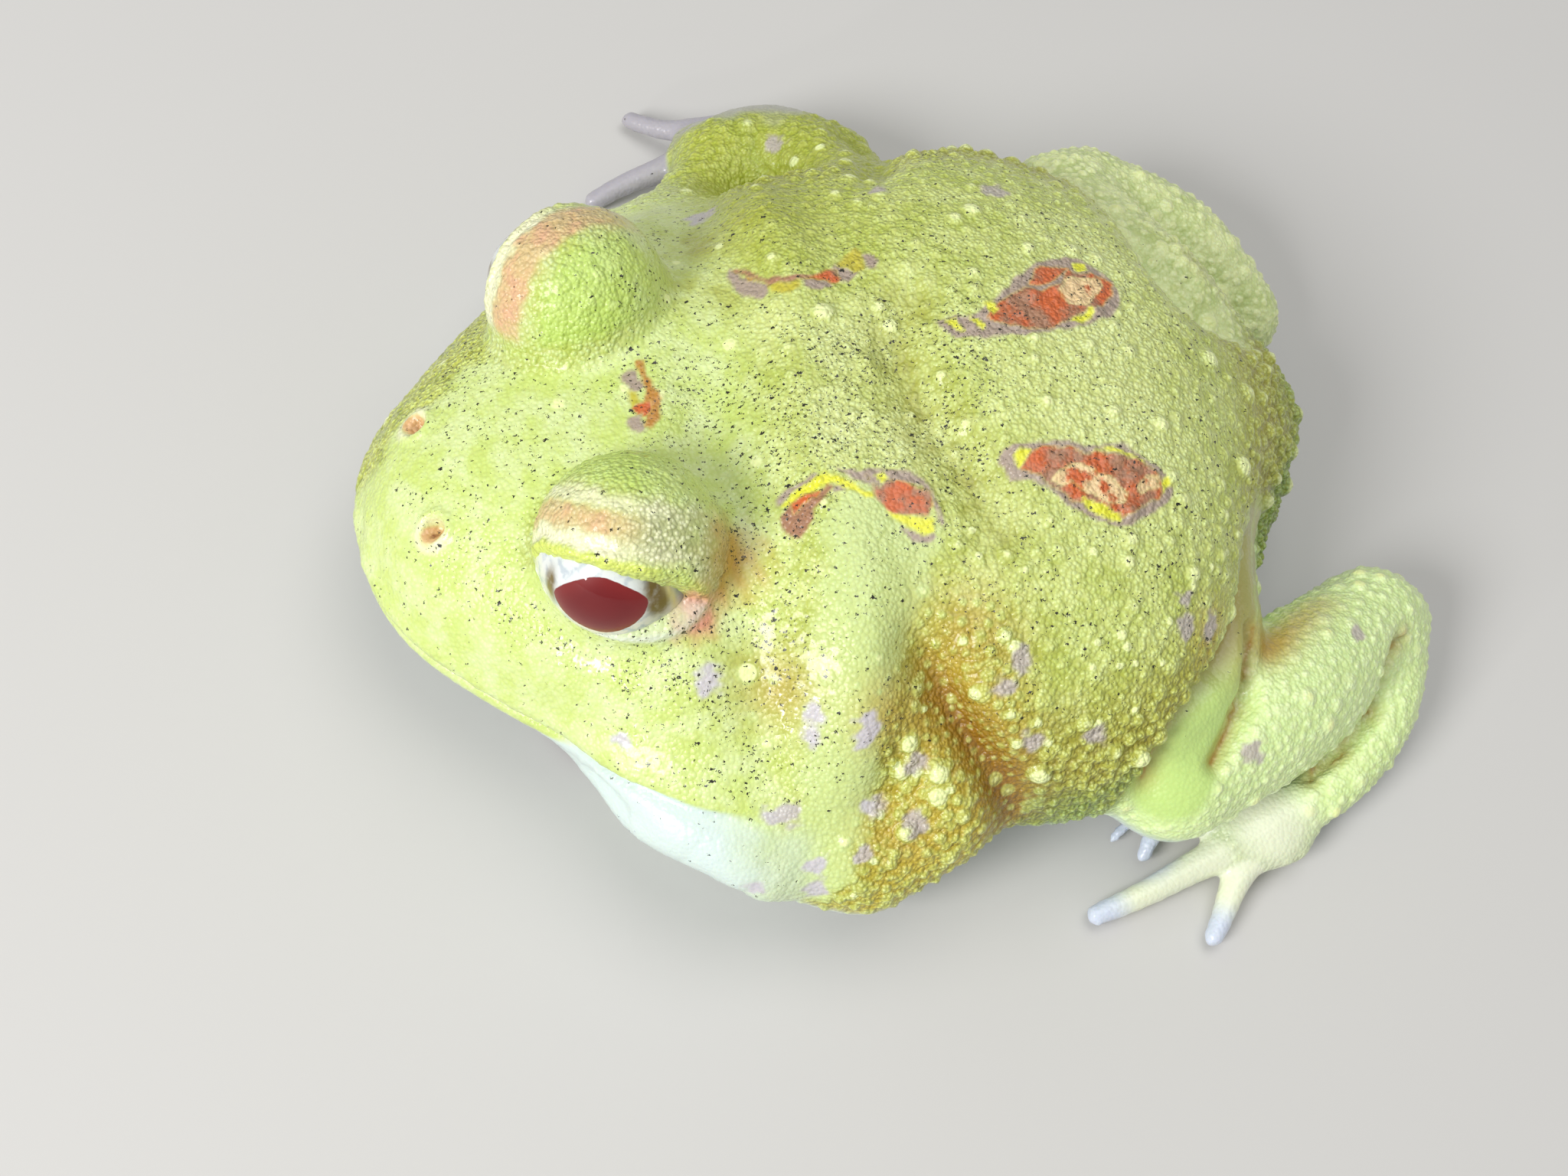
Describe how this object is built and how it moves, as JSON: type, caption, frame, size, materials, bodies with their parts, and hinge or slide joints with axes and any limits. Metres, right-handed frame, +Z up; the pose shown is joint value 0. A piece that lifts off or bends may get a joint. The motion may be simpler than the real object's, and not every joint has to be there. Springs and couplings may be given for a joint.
{
  "type": "argentine horned frog",
  "caption": "Squat horned frog at rest, wide-mouthed, with raised eyes, spread hands and folded hind legs; a still life-size model.",
  "frame": {"origin": "on the floor under the middle of the belly, on the flat on which the belly rests", "axes": "+Z up, -Y towards the snout, +X to the frog's own left"},
  "size_m": [0.076, 0.0808, 0.0275],
  "materials": {
    "skin": "moist, warty, lime yellow with orange and mauve marks",
    "throat_skin": "moist, pale",
    "foot_skin": "moist, cream to grey lavender",
    "eye": "glossy, dark red pupil with a silver rim"
  },
  "bodies": {
    "root": {"head": "skin", "lower_jaw": "throat_skin", "trunk": "skin", "left_eyelid": "skin", "right_eyelid": "skin", "left_eye": "eye", "right_eye": "eye", "left_upper_arm": "skin", "left_forearm": "skin", "left_hand": "foot_skin", "right_upper_arm": "skin", "right_forearm": "skin", "right_hand": "foot_skin", "left_thigh": "skin", "left_shank": "skin", "left_ankle": "skin", "left_foot": "foot_skin", "right_thigh": "skin", "right_shank": "skin", "right_ankle": "skin", "right_foot": "foot_skin"}
  },
  "joints": []
}
